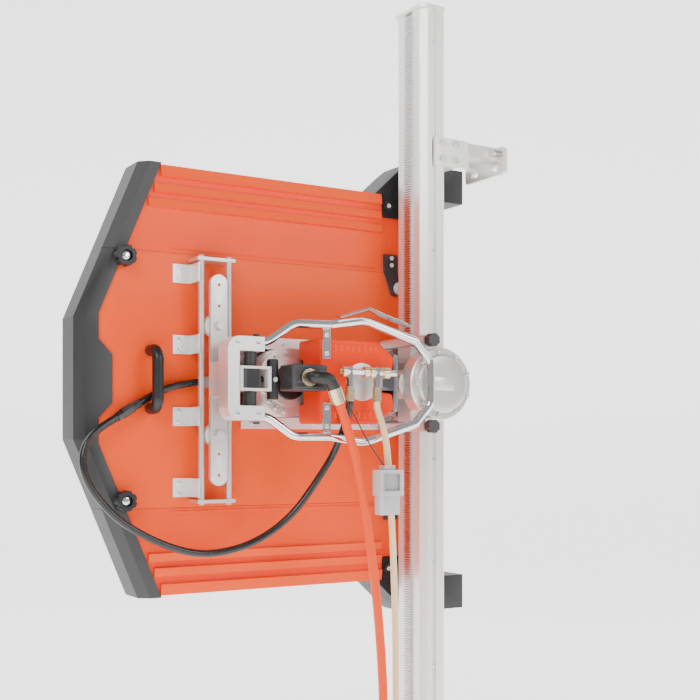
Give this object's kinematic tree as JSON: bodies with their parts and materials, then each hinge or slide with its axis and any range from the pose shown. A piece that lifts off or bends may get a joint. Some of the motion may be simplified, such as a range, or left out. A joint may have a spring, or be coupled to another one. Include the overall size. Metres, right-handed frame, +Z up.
{
  "type": "rack-mounted wall saw",
  "caption": "Rack-mounted wall saw: a motor arm with a blade guard rides a toothed wall track, with its cable and water hoses.",
  "frame": {"origin": "middle of the upper wall foot's back face, on the wall", "axes": "+X into the wall, +Y across the track towards the blade, +Z up along the track"},
  "size_m": [1.0971, 0.823, 2.028],
  "materials": {
    "white_rail": "satin, warm white",
    "cast_aluminium": "cast and machined, satin",
    "steel": "machined",
    "bright_chrome": "polished chrome",
    "brass_fittings": "turned brass and plated steel",
    "orange_shell": "gloss orange",
    "grey_metal": "satin dark grey",
    "rubber_bumper": "moulded dark grey",
    "black_plastic": "moulded black",
    "white_plastic": "white nylon",
    "grey_plastic": "light grey",
    "orange_cable": "satin orange",
    "cream_hose": "translucent cream",
    "black_hose": "smooth black"
  },
  "bodies": {
    "track": {"track_rail": "white_rail", "gear_rack": "steel", "wall_brackets": "white_rail", "track_fasteners": "steel", "supply_cable_lower": "orange_cable", "cable_coil": "orange_cable", "supply_plug": "black_plastic", "water_feed_lower": "cream_hose", "feed_coil": "cream_hose", "feed_fitting": "brass_fittings"},
    "carriage": {"carriage_frame": "cast_aluminium", "carriage_guides": "white_plastic", "travel_gear_case": "cast_aluminium", "case_cover": "cast_aluminium", "inline_couplers": "black_plastic"},
    "travel_pinion": {"travel_pinion": "steel"},
    "upper_clamp": {"upper_clamp_knob": "black_plastic"},
    "lower_clamp": {"lower_clamp_knob": "black_plastic"},
    "arm": {"arm_casing": "cast_aluminium", "arm_cover": "cast_aluminium", "hub_cap": "black_plastic", "motor_housing": "grey_metal", "motor_cover": "orange_shell", "plug_hood": "black_plastic", "cable_elbow": "black_plastic", "water_line": "bright_chrome", "line_fittings": "brass_fittings", "frame_tube": "bright_chrome", "holder_block": "cast_aluminium", "latch_frame": "white_plastic", "latch_jaw": "black_plastic", "plug_cap": "grey_plastic", "lanyard": "black_hose", "supply_cable_upper": "orange_cable", "water_feed_upper": "cream_hose"},
    "blade": {"blade_spindle": "steel", "saw_blade": "steel"},
    "idler": {"idler_gear": "steel"},
    "rotor": {"motor_rotor": "steel"},
    "t_handle": {"clamp_t_handle": "black_plastic"},
    "guard_carrier": {"roller_bar": "cast_aluminium", "guard_hose": "black_hose", "hose_coupling": "black_plastic"},
    "upper_roller": {"upper_bar_roller": "white_plastic"},
    "lower_roller": {"lower_bar_roller": "white_plastic"},
    "guard": {"guard_middle": "orange_shell", "bumper_middle": "rubber_bumper", "slot_strips": "cast_aluminium", "rod_frame": "cast_aluminium", "guard_handle": "black_plastic"},
    "upper_section": {"guard_upper": "orange_shell", "end_trim_upper": "rubber_bumper", "upper_wheel_bracket": "grey_metal"},
    "lower_section": {"guard_lower": "orange_shell", "end_trim_lower": "rubber_bumper", "lower_wheel_bracket": "grey_metal"},
    "upper_wheel": {"upper_guard_wheel": "white_plastic"},
    "lower_wheel": {"lower_guard_wheel": "white_plastic"},
    "upper_star": {"upper_star_knob": "black_plastic"},
    "lower_star": {"lower_star_knob": "black_plastic"}
  },
  "joints": [
    {"name": "travel", "type": "slide", "parent": "track", "child": "carriage", "axis": [0, 0, 1], "range_m": [-0.2, 0.42], "deforming": ["supply_cable_lower", "water_feed_lower"]},
    {"name": "pinion_spin", "type": "hinge", "parent": "carriage", "child": "travel_pinion", "pos_m": [-0.2825, 0, -0.651], "axis": [0, 1, 0], "range_deg": [-490, 1010]},
    {"name": "upper_clamp_turn", "type": "hinge", "parent": "carriage", "child": "upper_clamp", "pos_m": [-0.276, -0.114, -0.483], "axis": [0, 1, 0], "continuous": true},
    {"name": "lower_clamp_turn", "type": "hinge", "parent": "carriage", "child": "lower_clamp", "pos_m": [-0.276, -0.114, -0.693], "axis": [0, 1, 0], "continuous": true},
    {"name": "arm_swing", "type": "hinge", "parent": "carriage", "child": "arm", "pos_m": [-0.3, 0, -0.588], "axis": [0, 1, 0], "range_deg": [-10, 10], "deforming": ["supply_cable_upper", "water_feed_upper", "guard_hose"]},
    {"name": "blade_spin", "type": "hinge", "parent": "arm", "child": "blade", "pos_m": [-0.59, 0, -0.588], "axis": [0, 1, 0], "continuous": true},
    {"name": "idler_spin", "type": "hinge", "parent": "arm", "child": "idler", "pos_m": [-0.5, 0, -0.588], "axis": [0, 1, 0], "continuous": true},
    {"name": "rotor_spin", "type": "hinge", "parent": "arm", "child": "rotor", "pos_m": [-0.446, 0, -0.588], "axis": [0, 1, 0], "continuous": true},
    {"name": "t_handle_turn", "type": "hinge", "parent": "arm", "child": "t_handle", "pos_m": [-0.674, -0.059, -0.588], "axis": [1, 0, 0], "continuous": true},
    {"name": "carrier_turn", "type": "hinge", "parent": "arm", "child": "guard_carrier", "pos_m": [-0.772, 0, -0.588], "axis": [0, 1, 0], "range_deg": [-10, 10]},
    {"name": "upper_roller_spin", "type": "hinge", "parent": "guard_carrier", "child": "upper_roller", "pos_m": [-0.772, 0.043, -0.461], "axis": [0, 1, 0], "continuous": true},
    {"name": "lower_roller_spin", "type": "hinge", "parent": "guard_carrier", "child": "lower_roller", "pos_m": [-0.772, 0.043, -0.715], "axis": [0, 1, 0], "continuous": true},
    {"name": "guard_slide", "type": "slide", "parent": "guard_carrier", "child": "guard", "axis": [0, 0, 1], "range_m": [-0.014, 0.014]},
    {"name": "upper_section_slide", "type": "slide", "parent": "guard", "child": "upper_section", "axis": [0, 0, 1], "range_m": [0, 0.25]},
    {"name": "lower_section_slide", "type": "slide", "parent": "guard", "child": "lower_section", "axis": [0, 0, -1], "range_m": [0, 0.25]},
    {"name": "upper_wheel_spin", "type": "hinge", "parent": "upper_section", "child": "upper_wheel", "pos_m": [-0.232, 0.072, -0.331], "axis": [0, 1, 0], "continuous": true},
    {"name": "lower_wheel_spin", "type": "hinge", "parent": "lower_section", "child": "lower_wheel", "pos_m": [-0.232, 0.072, -0.845], "axis": [0, 1, 0], "continuous": true},
    {"name": "upper_star_turn", "type": "hinge", "parent": "guard", "child": "upper_star", "pos_m": [-0.983, 0.064, -0.311], "axis": [0, 1, 0], "continuous": true},
    {"name": "lower_star_turn", "type": "hinge", "parent": "guard", "child": "lower_star", "pos_m": [-0.983, 0.064, -0.865], "axis": [0, 1, 0], "continuous": true}
  ],
  "couplings": [
    {"joint": "pinion_spin", "follows": "travel", "rad_per_m": 41.667},
    {"joint": "carrier_turn", "follows": "arm_swing", "ratio": -1},
    {"joint": "idler_spin", "follows": "blade_spin", "ratio": -1.5},
    {"joint": "rotor_spin", "follows": "blade_spin", "ratio": 3}
  ]
}
